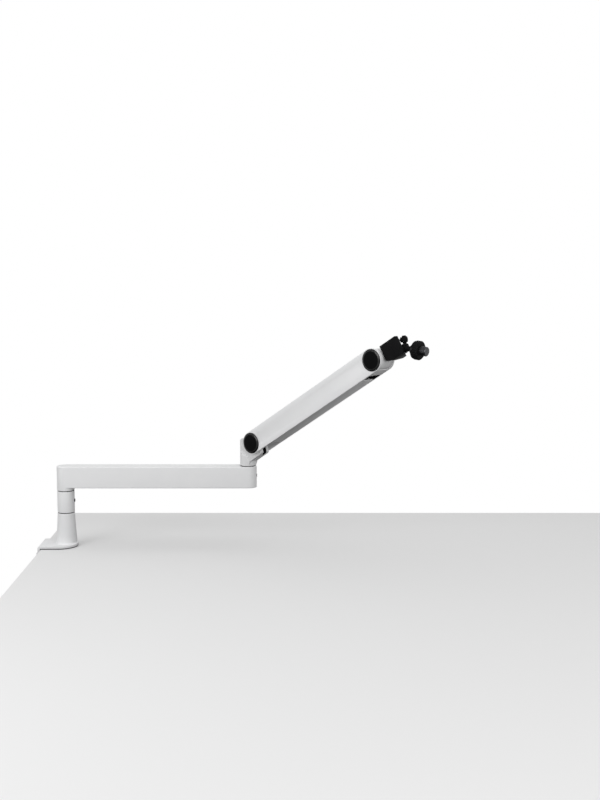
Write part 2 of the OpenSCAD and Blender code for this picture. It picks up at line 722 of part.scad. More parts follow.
// The housing: the stem leaves the socket through a wide mouth in its slanted front
module ball_housing() color(black) at_tip() difference() {
    union() {
        intersection() {
            translate([0, head_w / 2, 0]) rotate([90, 0, 0]) linear_extrude(head_w) head_side();
            translate([0, 0, -upper_h]) linear_extrude(2 * upper_h) polygon([[head_from, -head_w / 2],
                [head_to, -head_w / 2], [head_to - head_w * tan(nose_slant), head_w / 2],
                [head_from, head_w / 2]]);
        }
        translate(ball_at) sphere(r = nose_r);
    }
    translate(ball_at) sphere(r = socket_r);
    ball_frame() translate([0, 0, mouth_from])
        cylinder(r1 = socket_r - open_gap, r2 = socket_r - open_gap + mouth_h, h = mouth_h);
    rotate([0, 90, 0]) translate([0, 0, head_from - cut]) cylinder(d = bolt_d, h = bolt_in + cut);
    lock_frame() translate([0, 0, -lock_screw_in - cut])
        cylinder(d = lock_screw_d + 2 * run_r, h = 2 * head_w);
}

module housing_bolt() color(steel) at_tip() rotate([0, 90, 0]) translate([0, 0, axle_d / 2 + cut])
    cylinder(d = bolt_d, h = head_from + bolt_in - 2 * cut - axle_d / 2);

module lock_screw() color(steel) at_lock() translate([0, 0, -lock_screw_in])
    cylinder(d = lock_screw_d, h = lock_screw_in + lock_gap + lock_hub);

// A small knurled thumb knob with a hub towards the housing and a domed end
module lock_knob() color(black) at_lock() translate([0, 0, lock_gap]) difference() {
    union() {
        translate([0, 0, -lock_hub]) cylinder(d = lock_hub_d, h = lock_hub + join);
        rotate_extrude() polygon([[0, 0], [lock_d / 2 - 1, 0], [lock_d / 2, 1], [lock_d / 2, lock_len - 3],
            [lock_d / 2 - 2, lock_len - 0.5], [0, lock_len]]);
    }
    translate([0, 0, -lock_hub - cut]) cylinder(d = lock_screw_d, h = 2 * lock_hub + cut);
    for (i = [0:knob_cuts - 1]) rotate([0, 0, i * 360 / knob_cuts])
        translate([lock_d / 2 + open_gap, 0, -cut]) cylinder(d = knob_cut_d, h = lock_len + 2 * cut);
}

// The friction cup behind the ball
module ball_cup() color(paint) at_ball() difference() {
    sphere(r = cup_out);
    sphere(r = cup_in);
    translate([0, 0, -1.2]) cylinder(r = cup_out + cut, h = 2 * cup_out);
    translate([0, 0, -cup_out - cut]) cylinder(d = 5, h = cup_out);
}

// The ball, its neck and a shoulder that flares towards the collar
module ball_stem() color(black) at_ball() {
    sphere(d = ball_d);
    cylinder(d = neck_d, h = neck_len);
    translate([0, 0, neck_len - neck_flare]) rotate_extrude() polygon([[0, 0], [neck_d / 2 - join, 0],
        [neck_d / 2 + join, 0.6], [neck_flare_d / 2, neck_flare - 1.2], [neck_flare_d / 2, neck_flare],
        [0, neck_flare]]);
    cylinder(d = neck_pin_d, h = neck_len + neck_pin_len);
}

// The collar that turns on the neck and carries the stud
module stem_flange() color(black) at_ball() translate([0, 0, neck_len]) difference() {
    rotate_extrude() polygon([[0, neck_seat], [neck_flare_d / 2 + 1, neck_seat],
        [ring_d / 2 - 2 * flange_rim, flange_cone], [ring_d / 2 - flange_rim, flange_cone + flange_rim],
        [ring_d / 2 - flange_rim, flange_top], [hub_d / 2, flange_top], [hub_d / 2, hub_top], [0, hub_top]]);
    translate([0, 0, neck_seat - cut])
        cylinder(d = neck_pin_d + 2 * run_r, h = neck_pin_len + cut + run_gap);
    translate([0, 0, hub_top - stud_shank]) cylinder(d = hub_d - 6, h = stud_shank + cut);
}

// The stud: a threaded end with a shank seated in the collar's hub
module thread_stud() color(steel) at_ball() translate([0, 0, neck_len + hub_top]) {
    cylinder(d = stud_d, h = stud_len);
    translate([0, 0, -stud_shank]) cylinder(d = hub_d - 6, h = stud_shank + join);
}

// The lock ring, its rim cut by a ring of grip grooves
module lock_ring() color(black) at_ball() translate([0, 0, neck_len + flange_top + run_gap]) difference() {
    rotate_extrude() polygon([[hub_d / 2 + run_r, 0], [ring_d / 2 - 1, 0], [ring_d / 2, 1],
        [ring_d / 2, ring_len - 2], [ring_d / 2 - 2, ring_len], [hub_d / 2 + run_r, ring_len]]);
    for (i = [0:grip_cuts - 1]) rotate([0, 0, i * 360 / grip_cuts]) translate([ring_d / 2 + join, 0, -cut])
        cylinder(d = grip_cut_d, h = ring_len + 2 * cut);
}

clamp_frame();
top_pad();
edge_pad();
lower_jaw();
jaw_screws();
spindle_nut();
lower_seam_ring();
riser_sleeve();
riser_bushes();
riser_screw();
friction_shoe();
upper_seam_ring();
pressure_plate();
pressure_pad();
clamp_spindle();
clamp_knob();
lower_arm_shell();
lower_arm_cover();
swivel_shaft();
shaft_ring();
elbow_bush();
elbow_screw();
elbow_knuckle();
knuckle_ring();
knuckle_nut();
elbow_axle();
elbow_washers();
band_drum();
upper_arm_shell();
upper_arm_cover();
elbow_bushes();
tip_bushes();
elbow_cap_near();
elbow_cap_far();
tip_cap_near();
tip_cap_far();
balance_spring();
spring_pin();
spring_carriage();
pull_band();
tip_barrel();
tip_axle();
tip_washers();
ball_housing();
housing_bolt();
lock_screw();
lock_knob();
ball_cup();
ball_stem();
stem_flange();
thread_stud();
lock_ring();
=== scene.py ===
# %% [markdown]
# # A clamp-mounted boom arm, finished in Blender
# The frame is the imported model: solids with real sizes, grouped in bodies that move on joints. This lesson
# keeps each solid where it is, rounds its edges, gives it a finish and adds the fine pieces, such as threads
# and a coil spring. Blender counts in metres, and small parts are drawn in millimetres and scaled by MM. The
# post stands on the origin, the lower arm runs along +X and the front is -Y.

# %% Load the frame
import json
import math

import bmesh
import bpy
from mathutils import Matrix, Vector


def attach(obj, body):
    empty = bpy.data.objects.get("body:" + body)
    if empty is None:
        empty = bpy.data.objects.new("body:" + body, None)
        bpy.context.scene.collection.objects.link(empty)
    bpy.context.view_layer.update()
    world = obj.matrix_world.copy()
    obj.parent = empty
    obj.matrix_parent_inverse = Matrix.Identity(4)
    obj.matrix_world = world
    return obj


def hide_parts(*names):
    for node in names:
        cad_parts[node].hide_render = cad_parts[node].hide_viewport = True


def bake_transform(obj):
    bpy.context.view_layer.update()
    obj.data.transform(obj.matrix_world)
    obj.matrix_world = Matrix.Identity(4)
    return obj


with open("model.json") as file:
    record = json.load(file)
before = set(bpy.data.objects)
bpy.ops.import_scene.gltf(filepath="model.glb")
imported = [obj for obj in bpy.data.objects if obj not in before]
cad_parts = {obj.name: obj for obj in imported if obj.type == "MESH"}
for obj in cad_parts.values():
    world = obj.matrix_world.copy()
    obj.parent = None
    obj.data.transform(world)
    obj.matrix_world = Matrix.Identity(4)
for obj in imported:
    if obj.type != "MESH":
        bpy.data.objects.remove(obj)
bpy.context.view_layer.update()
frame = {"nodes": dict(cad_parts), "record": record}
nodes = frame["nodes"]
MM = 0.001

# %% [markdown]
# ## The camera
# A product picture is taken from far away with a long lens, so that the two arms stay nearly in parallel
# view. Here that is 58 mm from 2.4 metres. A constraint could aim the camera, but a place and one angle are
# enough: it is level from side to side and looks down by seven degrees, so the tops of the arms just show.

# %% Place the camera
lens, sensor, look_down = 58.0, 36.0, 7.03
camera_place = (0.4364, -2.3634, 0.5664)
camera_data = bpy.data.cameras.new("camera")
camera_data.lens = lens
camera_data.sensor_width = sensor
camera = bpy.data.objects.new("camera", camera_data)
camera.location = camera_place
camera.rotation_euler = (math.radians(90 - look_down), 0, 0)
bpy.context.scene.collection.objects.link(camera)
bpy.context.scene.camera = camera
sight = camera.rotation_euler.to_matrix() @ Vector((0, 0, -1))
print("camera looks along", tuple(round(v, 3) for v in sight))

# %% [markdown]
# ## Effects that several finishes share
# A painted, moulded or turned surface is never one flat value. Every material could have its own copy of the
# same nodes, but a node group is built once and then placed in each material with its own values. The groups
# only put out colours, masks and heights, and the shader itself stays in the material. Small helpers make
# them, so that each effect below reads as a short recipe.

# %% Node group helpers
FLOAT, COLOUR, VECTOR = "NodeSocketFloat", "NodeSocketColor", "NodeSocketVector"
MIX_SHARE, MIX_A, MIX_B, MIX_RESULT = 0, 6, 7, 2


def new_group(name, inputs, outputs):
    """An empty shader group. Inputs are (name, type, default) and outputs are (name, type)."""
    group = bpy.data.node_groups.new(name, "ShaderNodeTree")
    for label, kind, default in inputs:
        socket = group.interface.new_socket(name=label, in_out="INPUT", socket_type=kind)
        if default is not None:
            socket.default_value = default
    for label, kind in outputs:
        group.interface.new_socket(name=label, in_out="OUTPUT", socket_type=kind)
    start = group.nodes.new("NodeGroupInput")
    end = group.nodes.new("NodeGroupOutput")
    return group, start.outputs, end.inputs


def feed(tree, value, socket):
    """Gives a socket a number, or links another socket to it."""
    if isinstance(value, (int, float)):
        socket.default_value = value
    else:
        tree.links.new(value, socket)


def math_node(tree, operation, a, b, clamp=False):
    """One Math node. a and b are numbers or sockets."""
    node = tree.nodes.new("ShaderNodeMath")
    node.operation = operation
    node.use_clamp = clamp
    feed(tree, a, node.inputs[0])
    feed(tree, b, node.inputs[1])
    return node.outputs[0]


print("helpers ready for groups with", FLOAT, COLOUR, VECTOR)


# %% Texture helpers
def noise_node(tree, vector, scale, detail, roughness):
    """A Noise texture's value on the given coordinates. scale is a number or a socket."""
    node = tree.nodes.new("ShaderNodeTexNoise")
    node.inputs["Detail"].default_value = detail
    node.inputs["Roughness"].default_value = roughness
    tree.links.new(vector, node.inputs["Vector"])
    feed(tree, scale, node.inputs["Scale"])
    return node.outputs[0]


def stretched(tree, value, low, high):
    """Spreads the part of a value between low and high over the whole range from 0 to 1."""
    node = tree.nodes.new("ShaderNodeMapRange")
    node.inputs["From Min"].default_value = low
    node.inputs["From Max"].default_value = high
    tree.links.new(value, node.inputs["Value"])
    return node.outputs["Result"]


def colour_mix(tree, share, a, b):
    """A colour between a and b. Each is a socket, or a plain colour for b."""
    node = tree.nodes.new("ShaderNodeMix")
    node.data_type = "RGBA"
    tree.links.new(share, node.inputs[MIX_SHARE])
    tree.links.new(a, node.inputs[MIX_A])
    if isinstance(b, tuple):
        node.inputs[MIX_B].default_value = (*b, 1)
    else:
        tree.links.new(b, node.inputs[MIX_B])
    return node.outputs[MIX_RESULT]


print("colour mix reads its sockets", MIX_SHARE, MIX_A, MIX_B)

# %% [markdown]
# ## Fine grain
# Powder coat has an orange peel and moulded plastic a spark-eroded grain, both under a millimetre across.
# Modelled bumps would take millions of faces. So noise of two sizes is added up and feeds a Bump node, and
# the coarser one also varies the gloss.

# %% Fine grain
fine_share, coarse_share = 0.7, 0.3
grain, given, result = new_group(
    "fine_grain",
    [("Vector", VECTOR, None), ("Size", FLOAT, 900.0), ("Coarse", FLOAT, 90.0)],
    [("Height", FLOAT), ("Value", FLOAT)],
)
fine = noise_node(grain, given["Vector"], given["Size"], detail=2.0, roughness=0.6)
coarse = noise_node(grain, given["Vector"], given["Coarse"], detail=3.0, roughness=0.55)
fine_part = math_node(grain, "MULTIPLY", fine, fine_share)
coarse_part = math_node(grain, "MULTIPLY", coarse, coarse_share)
grain.links.new(math_node(grain, "ADD", fine_part, coarse_part), result["Height"])
grain.links.new(coarse, result["Value"])
print("group:", grain.name, [n.bl_idname for n in grain.nodes])

# %% [markdown]
# ## Slow mottle
# Even new paint is a little lighter in one place than in the next. A painted image could show that, but it
# would need a flat map of every piece. Noise on Object coordinates needs none and has no seams, and a Map
# Range spreads its middle values so that both tones are seen.

# %% Slow mottle
cloud_low, cloud_high = 0.3, 0.7
mottle, given, result = new_group(
    "slow_mottle",
    [("Vector", VECTOR, None), ("Scale", FLOAT, 18.0), ("Dark", COLOUR, (0, 0, 0, 1)),
     ("Light", COLOUR, (1, 1, 1, 1))],
    [("Colour", COLOUR), ("Value", FLOAT)],
)
cloud = noise_node(mottle, given["Vector"], given["Scale"], detail=4.0, roughness=0.6)
share = stretched(mottle, cloud, cloud_low, cloud_high)
mottle.links.new(colour_mix(mottle, share, given["Dark"], given["Light"]), result["Colour"])
mottle.links.new(share, result["Value"])
print("group:", mottle.name, [n.bl_idname for n in mottle.nodes])

# %% [markdown]
# ## Edge wear
# Handling rubs the edges of a coated part first. The Bevel and Geometry nodes can find edges in a material,
# but only in one of the render engines. Here the rounded faces carry an attribute instead, and noise breaks
# it into patches, so that no edge looks worn evenly.

# %% Edge wear
patch_low, patch_high = 0.42, 0.62
wear, given, result = new_group(
    "edge_wear",
    [("Vector", VECTOR, None), ("Edge", FLOAT, 0.0), ("Amount", FLOAT, 0.5), ("Scale", FLOAT, 160.0)],
    [("Mask", FLOAT)],
)
patches = noise_node(wear, given["Vector"], given["Scale"], detail=3.0, roughness=0.65)
strength = math_node(wear, "MULTIPLY", stretched(wear, patches, patch_low, patch_high), given["Edge"])
wear.links.new(math_node(wear, "MULTIPLY", strength, given["Amount"], clamp=True), result["Mask"])
print("group:", wear.name, [n.bl_idname for n in wear.nodes])

# %% [markdown]
# ## The finishes
# The object has coated white parts, black plastic and alloy, rubber pads and turned metal. Their materials
# could be made one by one, but a single builder makes them all. So they are built alike and differ only in
# values, and in each the colour, the roughness and the relief vary over the surface.

# %% One builder for all finishes
worn_shine, coat_roughness, bump_depth = 0.12, 0.2, 0.05 * MM


def group_node(tree, group, vector):
    """Places a shared group in a material and gives it its coordinates."""
    node = tree.nodes.new("ShaderNodeGroup")
    node.node_tree = group
    tree.links.new(vector, node.inputs["Vector"])
    return node


def edge_value(tree):
    """The attribute that is 1 on rounded edges and bevels."""
    node = tree.nodes.new("ShaderNodeAttribute")
    node.attribute_name = "edge"
    return node.outputs["Fac"]


def finish_material(name, dark, light, roughness, metallic=0.0, spread=0.06, grain_size=900.0, bump=0.15,
                    wear_colour=None, wear_amount=0.0, mottle_scale=18.0, stretch=(1, 1, 1), specular=0.5,
                    edge_coat=0.0):
    """A Principled material whose colour, roughness and relief all vary over the surface.

    Worn edges take wear_colour and shine a little more. edge_coat is a clear coat on the edges alone.
    """
    material = bpy.data.materials.new(name)
    material.use_nodes = True
    tree = material.node_tree
    shader = tree.nodes["Principled BSDF"]
    where = tree.nodes.new("ShaderNodeTexCoord").outputs["Object"]
    mapping = tree.nodes.new("ShaderNodeMapping")
    mapping.inputs["Scale"].default_value = stretch
    tree.links.new(where, mapping.inputs["Vector"])
    colour = group_node(tree, mottle, where)
    colour.inputs["Scale"].default_value = mottle_scale
    colour.inputs["Dark"].default_value = (*dark, 1)
    colour.inputs["Light"].default_value = (*light, 1)
    relief = group_node(tree, grain, mapping.outputs["Vector"])
    relief.inputs["Size"].default_value = grain_size
    base = colour.outputs["Colour"]
    change = math_node(tree, "MULTIPLY", relief.outputs["Value"], 2 * spread)
    rough = math_node(tree, "ADD", change, roughness - spread)
    if wear_colour:
        worn = group_node(tree, wear, where)
        worn.inputs["Amount"].default_value = wear_amount
        tree.links.new(edge_value(tree), worn.inputs["Edge"])
        mask = worn.outputs["Mask"]
        base = colour_mix(tree, mask, base, wear_colour)
        rough = math_node(tree, "SUBTRACT", rough, math_node(tree, "MULTIPLY", mask, worn_shine), clamp=True)
    if edge_coat:
        tree.links.new(math_node(tree, "MULTIPLY", edge_value(tree), edge_coat), shader.inputs["Coat Weight"])
        shader.inputs["Coat Roughness"].default_value = coat_roughness
    tree.links.new(base, shader.inputs["Base Color"])
    tree.links.new(rough, shader.inputs["Roughness"])
    bump_node = tree.nodes.new("ShaderNodeBump")
    bump_node.inputs["Strength"].default_value = bump
    bump_node.inputs["Distance"].default_value = bump_depth
    tree.links.new(relief.outputs["Height"], bump_node.inputs["Height"])
    tree.links.new(bump_node.outputs["Normal"], shader.inputs["Normal"])
    shader.inputs["Metallic"].default_value = metallic
    shader.inputs["Specular IOR Level"].default_value = specular
    return material


print("worn edges are", worn_shine, "less rough, and a bevel's coat has roughness", coat_roughness)

# %% [markdown]
# ## White finishes
# The arms and the post are powder coated in a plain white with a very fine orange peel. One white could do for
# all, but an extrusion, steel and a moulding never come out quite alike. So each has its own tone, gloss and
# grain, and a wear colour for its edges. Some tones are also painted light and shade. The upper arm has a
# brighter copy of the coat as painted light, and the elbow post has a darker copy as painted shade. The
# clamp's coated steel is darkened a little by painted shade.

# %% White finishes
finishes = {
    "white_coat": finish_material(
        "white_powder_coat", (0.775, 0.778, 0.785), (0.805, 0.807, 0.812), 0.52,
        grain_size=1600.0, bump=0.25, wear_colour=(0.88, 0.88, 0.88), wear_amount=0.5),
    # A brighter copy of the white coat: painted light on the upper arm's face.
    "white_coat_painted_light": finish_material(
        "upper_arm_coat_painted_light", (0.83, 0.833, 0.84), (0.86, 0.862, 0.868), 0.52,
        grain_size=1600.0, bump=0.25, wear_colour=(0.9, 0.9, 0.9), wear_amount=0.5),
    # A darker copy of the white coat: painted shade on the elbow post.
    "white_coat_painted_shade": finish_material(
        "elbow_post_coat_painted_shade", (0.695, 0.698, 0.705), (0.725, 0.727, 0.732), 0.5,
        grain_size=1300.0, bump=0.35, wear_colour=(0.82, 0.82, 0.82), wear_amount=0.5),
    # The coated steel's own tone, darkened a little by painted shade on the clamp.
    "white_steel": finish_material(
        "steel_white_with_painted_shade", (0.745, 0.748, 0.755), (0.775, 0.777, 0.783), 0.5,
        grain_size=1500.0, bump=0.3, wear_colour=(0.66, 0.66, 0.67), wear_amount=0.35),
    "white_plastic": finish_material(
        "white_moulded_plastic", (0.74, 0.743, 0.75), (0.77, 0.772, 0.778), 0.46,
        grain_size=1100.0, bump=0.2, wear_colour=(0.80, 0.80, 0.80), wear_amount=0.3),
}
print("white finishes:", sorted(finishes))

# %% [markdown]
# ## Black finishes
# The caps are moulded in plastic with a spark-eroded grain, the head is anodised alloy and the pads are
# rubber. Black turns grey where it mirrors white surroundings, and a darker colour wouldn't help. So the
# reflections are turned down with a low Specular IOR Level. Only the caps' polished bevels have a clear
# coat, where the edge attribute is 1.

# %% Black finishes
finishes.update({
    "black_plastic": finish_material(
        "black_moulded_plastic", (0.0035, 0.0035, 0.0038), (0.0055, 0.0055, 0.0059), 0.5, specular=0.03,
        spread=0.08, grain_size=1300.0, bump=0.35, mottle_scale=40.0, wear_colour=(0.04, 0.04, 0.042),
        wear_amount=0.7),
    "cap_plastic": finish_material(
        "black_cap_plastic", (0.0024, 0.0024, 0.0026), (0.0036, 0.0036, 0.0039), 0.5, specular=0.03,
        grain_size=1300.0, bump=0.2, mottle_scale=40.0, edge_coat=0.6),
    "black_metal": finish_material(
        "black_anodised_alloy", (0.0062, 0.0062, 0.0066), (0.0090, 0.0090, 0.0095), 0.5, specular=0.03,
        spread=0.07, grain_size=1900.0, bump=0.3, mottle_scale=55.0, wear_colour=(0.09, 0.09, 0.095),
        wear_amount=0.8),
    "rubber": finish_material(
        "black_rubber", (0.018, 0.018, 0.018), (0.03, 0.03, 0.03), 0.78, specular=0.3, spread=0.1,
        grain_size=600.0, bump=0.6, mottle_scale=35.0, wear_colour=(0.07, 0.07, 0.07), wear_amount=0.6),
})
print("finishes:", len(finishes))

# %% [markdown]
# ## Turned metals
# Screws, axles and bushes come from a lathe, which leaves fine rings round them. An anisotropic shader could
# show that, but it needs tangents that follow each part. A Mapping node that stretches the grain is simpler.
# It draws the rings level, which suits upright parts and is too fine to be noticed on the others.

# %% Turned metals
turned = dict(metallic=1.0, spread=0.08, grain_size=700.0, bump=0.3, stretch=(0.3, 0.3, 6.0),
              mottle_scale=60.0)
finishes.update({
    "dark_steel": finish_material(
        "blackened_steel", (0.055, 0.055, 0.058), (0.085, 0.085, 0.09), 0.36,
        wear_colour=(0.4, 0.4, 0.41), wear_amount=0.5, **turned),
    "steel": finish_material(
        "turned_steel", (0.50, 0.51, 0.53), (0.62, 0.63, 0.65), 0.3,
        wear_colour=(0.8, 0.8, 0.82), wear_amount=0.6, **turned),
    "brass": finish_material(
        "turned_brass", (0.58, 0.43, 0.20), (0.70, 0.54, 0.28), 0.32,
        wear_colour=(0.85, 0.72, 0.45), wear_amount=0.5, **turned),
})
print("finishes:", len(finishes))

# %% [markdown]
# ## Finishes on the solids
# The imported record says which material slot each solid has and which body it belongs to. The finish could be
# chosen name by name, but a table of the slots covers every solid and stays right when one is added. A
# solid's own mesh is never changed.

# %% Paint the solids
slot_of = {part["node"]: part["material_slot"] for part in frame["record"]["subparts"]}
members_of = frame["record"]["behaviour"]["bodies"]
body_of = {node: body for body, members in members_of.items() for node in members}


def paint(obj, finish):
    """Gives an object one finish, in the first of its material slots."""
    obj.data.materials.clear()
    obj.data.materials.append(finishes[finish])


for name, obj in nodes.items():
    slots = obj.data.materials
    if not slots:
        slots.append(finishes[slot_of[name]])
    for index in range(len(slots)):
        slots[index] = finishes[slot_of[name]]
print("painted", len(nodes), "solids with", sorted(set(slot_of.values())))

# %% [markdown]
# ## Rounded edges
# A sharp edge catches no light, so rounded edges are what a plain solid lacks first. A Bevel modifier could
# round them, but it can't mark its new faces with an attribute. So each solid that shows is copied, its
# loose triangles are merged, its flat faces are joined, and its hard edges are bevelled by some tenths of a
# millimetre with an operator. The new faces carry an attribute called edge, which the wear reads.

# %% From a bmesh to an object
def as_object(name, mesh_name, shape, finish, smooth, note=""):
    """Turns a bmesh into an object at the origin. Edges over smooth degrees stay sharp."""
    for face in shape.faces:
        face.smooth = True
    mesh = bpy.data.meshes.new(mesh_name)
    shape.to_mesh(mesh)
    open_edges = sum(1 for e in shape.edges if not e.is_manifold)
    shape.free()
    mesh.set_sharp_from_angle(angle=math.radians(smooth))
    piece = bpy.data.objects.new(name, mesh)
    bpy.context.scene.collection.objects.link(piece)
    paint(piece, finish)
    print(f"{name}: {len(mesh.polygons)} faces, {open_edges} open{note}")
    return piece


def mark_edge(layer, faces):
    """Sets the edge attribute to 1 on some faces."""
    for face in faces:
        for loop in face.loops:
            loop[layer] = 1.0


# %% Softened copies of the solids
hard_angle, flat_angle, sharp_angle, bevel_steps = 25.0, 0.3, 35, 3
weld = 0.001 * MM


def softened(name, width, finish):
    """A merged copy of a solid with its hard edges rounded. It replaces the solid."""
    shape = bmesh.new()
    shape.from_mesh(nodes[name].data)
    bmesh.ops.remove_doubles(shape, verts=shape.verts, dist=weld)
    bmesh.ops.dissolve_degenerate(shape, edges=shape.edges, dist=weld)
    bmesh.ops.dissolve_limit(shape, angle_limit=math.radians(flat_angle), use_dissolve_boundaries=False,
                             verts=shape.verts, edges=shape.edges)
    corner = math.radians(hard_angle)
    hard = [e for e in shape.edges if len(e.link_faces) == 2 and e.calc_face_angle() > corner]
    edge_layer = shape.loops.layers.float.new("edge")
    result = bmesh.ops.bevel(shape, geom=hard, offset=width, offset_type="OFFSET", affect="EDGES",
                             segments=bevel_steps, profile=0.5, clamp_overlap=True, material=-1)
    mark_edge(edge_layer, result["faces"])
    note = f", {len(hard)} edges rounded by {width / MM:.2f} mm"
    piece = as_object(name + "_piece", name + "_shape", shape, finish, sharp_angle, note)
    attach(piece, body_of[name])
    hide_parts(name)


# %% Round the edges of what shows, by a width in millimetres
soft_edges = {
    "clamp_frame": 0.5, "top_pad": 0.35, "edge_pad": 0.3, "lower_jaw": 0.9, "jaw_screws": 0.35,
    "spindle_nut": 0.4, "pressure_plate": 0.4, "pressure_pad": 0.5, "clamp_knob": 0.9,
    "riser_sleeve": 0.25, "riser_screw": 0.2, "lower_arm_shell": 0.45, "lower_arm_cover": 0.3,
    "elbow_screw": 0.2, "elbow_knuckle": 0.7, "upper_arm_shell": 0.8, "upper_arm_cover": 0.3,
    "tip_barrel": 0.6, "ball_housing": 1.0, "stem_flange": 0.5, "lock_ring": 0.35,
    "spring_carriage": 0.4,
}
# The upper arm's coat carries painted light, and the elbow post's coat carries painted shade.
own_finish = {"upper_arm_shell": "white_coat_painted_light", "elbow_knuckle": "white_coat_painted_shade"}
for name, width in soft_edges.items():
    softened(name, width * MM, own_finish.get(name, slot_of[name]))
print("rounded:", len(soft_edges), "solids")

# %% [markdown]
# ## Frames of the tilted parts
# The upper arm and the head stand at angles to the world. Turned objects could carry their pieces, but every
# object has to stay at the origin. So each fine piece is made straight and upright, where it is easy to
# shape, and one matrix then carries its vertices to its place. The same turns are used as in the solids, so
# nothing has to be fitted by eye.

# %% Matrices of the arm's frames, from lengths in millimetres and angles in degrees
def turn(degrees, axis):
    """A rotation by degrees about one axis."""
    return Matrix.Rotation(math.radians(degrees), 4, axis)


def shift(x, y, z):
    """A move in millimetres."""
    return Matrix.Translation((x * MM, y * MM, z * MM))


lower_len, elbow_turn = 340, -40.9
pivot_reach, pivot_up, lift = 25.6, 199.4, 31.4
upper_len = 324
ball_reach, ball_drop, stem_yaw, stem_dip = 59.7, 10.4, 6, 37
nose_reach, nose_slant, nose_half = 63.7, 35, 12
lock_up, lock_dip = 7, 18
press_back, press_down = 2, 32.2

elbow_frame = shift(lower_len, 0, 0) @ turn(elbow_turn, "Z")
lift_frame = elbow_frame @ shift(pivot_reach, 0, pivot_up) @ turn(-lift, "Y")
tip_frame = lift_frame @ shift(upper_len, 0, 0)
ball_frame = tip_frame @ shift(ball_reach, 0, -ball_drop) @ turn(stem_yaw, "Z") @ turn(90 + stem_dip, "Y")
lock_reach = nose_reach - nose_half * math.tan(math.radians(nose_slant))
lock_frame = tip_frame @ shift(lock_reach, 0, lock_up) @ turn(nose_slant, "Z") @ turn(90 + lock_dip, "Y")
press_frame = shift(-press_back, 0, -press_down)
print("ball centre:", tuple(round(v, 4) for v in ball_frame.translation))

# %% [markdown]
# ## Painted shade in two hollows
# Two hollows of the white parts lie in deep shade: the ends of the slot in the elbow's fork, where the pull
# band runs, and the channel's mouth at the tip. Dark liners there would take room where parts pass close by.
# So the shade is painted instead: two planes cut the inner walls to length, and the faces between them get a
# black second material.

# %% Painted shade on inner walls
on_plane = 0.0001 * MM


def paint_shade_inside(name, place, low, high, finish):
    """Paints shade on a piece's faces inside a box, as a black second finish. The box is in millimetres in the
    part's frame.
    """
    piece = bpy.data.objects[name]
    piece.data.materials.append(finishes[finish])
    shape = bmesh.new()
    shape.from_mesh(piece.data)
    to_part = place.inverted()

    def inside(face, axes):
        centre = to_part @ face.calc_center_median() / MM
        return all(low[i] < centre[i] < high[i] for i in axes)

    for cut in (low[0], high[0]):
        walls = [f for f in shape.faces if inside(f, (1, 2))]
        geometry = walls + list({e for f in walls for e in f.edges})
        geometry += list({v for f in walls for v in f.verts})
        bmesh.ops.bisect_plane(shape, geom=geometry, plane_co=place @ Vector((cut * MM, 0, 0)),
                               plane_no=place.to_3x3() @ Vector((1, 0, 0)), dist=on_plane)
    chosen = [f for f in shape.faces if inside(f, (0, 1, 2))]
    for face in chosen:
        face.material_index = 1
    shape.to_mesh(piece.data)
    shape.free()
    print(f"{name}: {len(chosen)} black inner faces")


# The black faces inside both boxes are painted shade.
slot_low, slot_high = (33.0, -4.3, 100.0), (60.0, 4.3, 250.0)
mouth_low, mouth_high = (273.0, -15.5, -19.0), (310.0, 15.5, 16.6)
paint_shade_inside("elbow_knuckle_piece", elbow_frame, slot_low, slot_high, "black_metal")
paint_shade_inside("upper_arm_shell_piece", lift_frame, mouth_low, mouth_high, "black_metal")

# %% [markdown]
# ## Helpers for new pieces
# Every new piece ends the same way: its vertices are moved to its place, its faces are turned outwards, and
# it rides on a body and stands for a solid. Round pieces also start the same way, as an outline that is
# spun. Each could do this by itself, but two helpers keep the steps below short and alike.

# %% Add a piece, and spin an outline
seam = 0.002 * MM


def add_piece(name, shape, finish, body, place, stands_for, smooth=sharp_angle):
    """Finishes a piece. It rides on its body, unless that is None."""
    bmesh.ops.transform(shape, matrix=place, verts=shape.verts)
    bmesh.ops.recalc_face_normals(shape, faces=shape.faces)
    piece = as_object(name, name, shape, finish, smooth)
    if body:
        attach(piece, body)
    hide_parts(*stands_for)
    return piece


def spun(shape, outline, steps):
    """A turned body: an outline of (radius, height) points in millimetres, spun once round the Z axis."""
    verts = [shape.verts.new((r * MM, 0, z * MM)) for r, z in outline]
    edges = [shape.edges.new(pair) for pair in zip(verts, verts[1:])]
    bmesh.ops.spin(shape, geom=verts + edges, cent=(0, 0, 0), axis=(0, 0, 1), angle=2 * math.pi,
                   steps=steps, use_merge=True, use_duplicate=False)
    bmesh.ops.remove_doubles(shape, verts=shape.verts, dist=seam)


print("seams closer than", seam / MM, "mm are merged")

# %% [markdown]
# ## The four pivot caps
# A moulded cap hides each end of the pivots. Its flat face stands a little proud and falls away to the rim
# in a broad bevel, which is polished and catches a lamp as a thin crescent. A bevelled cylinder could pass
# for it, but a spun outline sets the rim, the step and the bevel exactly. The bevel's faces carry the edge
# attribute.

